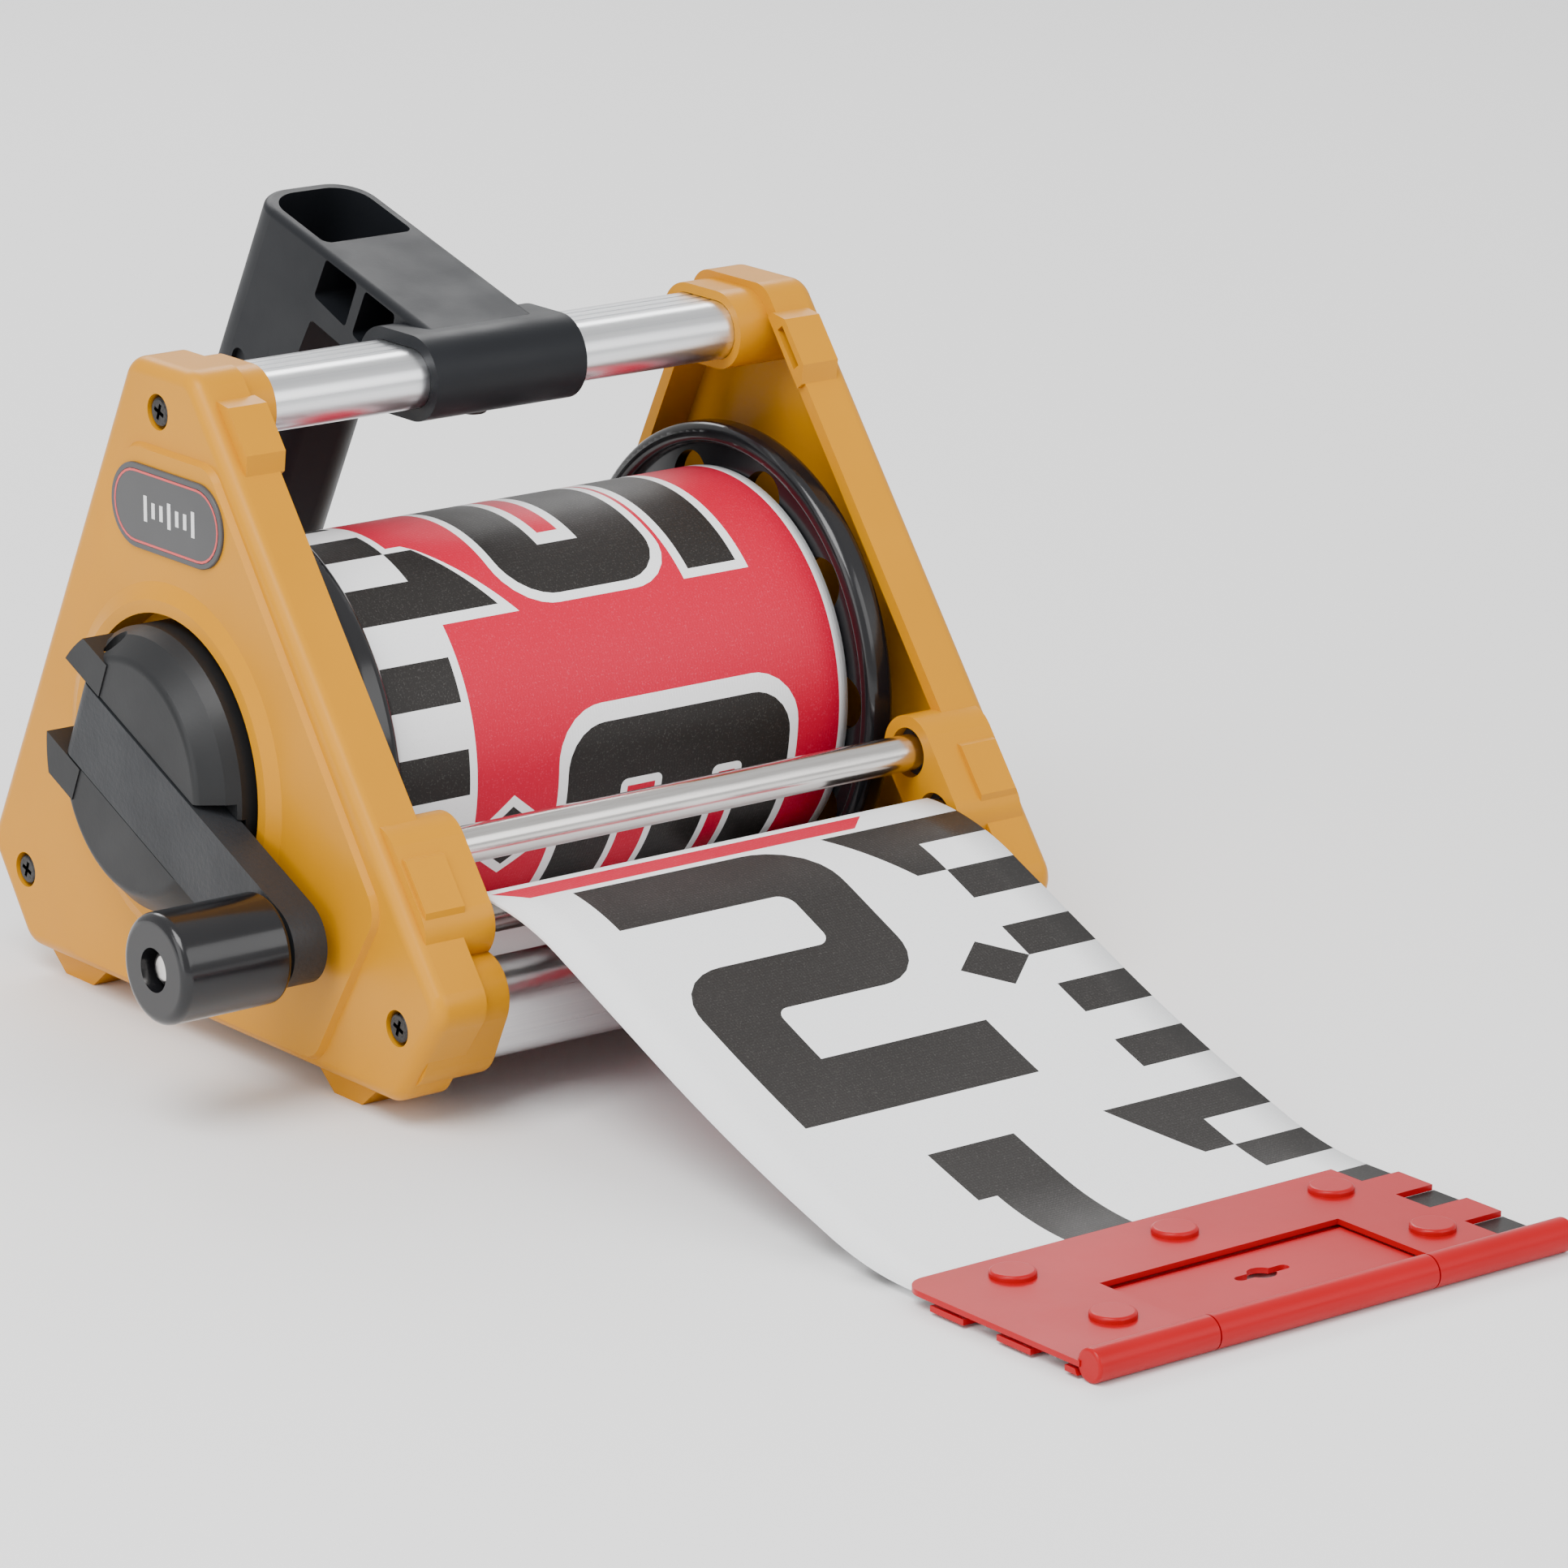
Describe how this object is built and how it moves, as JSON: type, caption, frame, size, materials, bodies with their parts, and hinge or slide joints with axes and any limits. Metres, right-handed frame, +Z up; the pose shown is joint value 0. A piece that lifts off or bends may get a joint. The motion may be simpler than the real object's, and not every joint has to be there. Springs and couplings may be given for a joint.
{
  "type": "levelling tape reel",
  "caption": "Hand reel with a wide printed levelling tape: two side frames on three tubes, folding crank with turning knob, guide rods, carrying grip, and a hinged hook at the tape's end.",
  "frame": {"origin": "on the floor, below the middle of the whole part's box with the tape paid out", "axes": "+X along the reel's axis away from the crank, -Y the way the tape pays out, +Z up"},
  "size_m": [0.209, 0.402, 0.1647],
  "materials": {
    "frame_yellow": "satin moulded ABS, fine texture",
    "badge_grey": "satin label",
    "tube_aluminium": "satin anodised",
    "screw_black": "black zinc",
    "bush_black": "satin",
    "rod_steel": "polished",
    "grip_charcoal": "matt moulded",
    "hub_charcoal": "matt moulded",
    "arm_black": "textured powder coat",
    "knob_black": "gloss",
    "reel_black": "gloss",
    "tape_print": "coated glass-fibre weave, printed black and red",
    "hook_red": "satin coat"
  },
  "bodies": {
    "frame": {"left_side_frame": "frame_yellow", "right_side_frame": "frame_yellow", "badge": "badge_grey", "top_tube": "tube_aluminium", "front_tube": "tube_aluminium", "rear_tube": "tube_aluminium", "left_frame_screws": "screw_black", "right_frame_screws": "screw_black", "left_rod_bushes": "bush_black", "right_rod_bushes": "bush_black", "carrying_grip": "grip_charcoal", "grip_screw": "screw_black", "left_shaft_bush": "bush_black", "right_shaft_bush": "bush_black", "left_thrust_washer": "rod_steel", "right_thrust_washer": "rod_steel", "shaft_cap": "hub_charcoal", "free_tape": "tape_print", "hook_top_plate": "hook_red", "hook_bottom_plate": "hook_red", "hook_pin": "rod_steel", "hook_rivets": "hook_red"},
    "reel": {"reel_shaft": "rod_steel", "shaft_ring": "screw_black", "winding_drum": "reel_black", "tape_clip": "rod_steel", "left_reel_flange": "reel_black", "right_reel_flange": "reel_black", "tape_roll": "tape_print", "crank_hub": "hub_charcoal", "hub_screw": "screw_black", "fold_pin": "rod_steel"},
    "crank": {"crank_arm": "arm_black", "knob_spindle": "rod_steel"},
    "knob": {"crank_knob": "knob_black"},
    "upper_rod": {"upper_guide_rod": "rod_steel"},
    "lower_rod": {"lower_guide_rod": "rod_steel"},
    "flap": {"hook_flap": "hook_red"}
  },
  "joints": [
    {"name": "reel_spin", "type": "hinge", "parent": "frame", "child": "reel", "pos_m": [0.0195, 0.07747, 0.0605], "axis": [1, 0, 0], "continuous": true},
    {"name": "crank_fold", "type": "hinge", "parent": "reel", "child": "crank", "pos_m": [-0.07195, 0.09571, 0.0687], "axis": [0, 0.4099, -0.9121], "range_deg": [0, 120]},
    {"name": "knob_spin", "type": "hinge", "parent": "crank", "child": "knob", "pos_m": [-0.0905, 0.02457, 0.03672], "axis": [1, 0, 0], "continuous": true},
    {"name": "upper_rod_spin", "type": "hinge", "parent": "frame", "child": "upper_rod", "pos_m": [0.0195, 0.00977, 0.055], "axis": [1, 0, 0], "continuous": true},
    {"name": "lower_rod_spin", "type": "hinge", "parent": "frame", "child": "lower_rod", "pos_m": [0.0195, 0.00027, 0.0425], "axis": [1, 0, 0], "continuous": true},
    {"name": "hook_flap_lift", "type": "hinge", "parent": "frame", "child": "flap", "pos_m": [0.0195, -0.19753, 0.0035], "axis": [-1, 0, 0], "range_deg": [0, 170]}
  ]
}
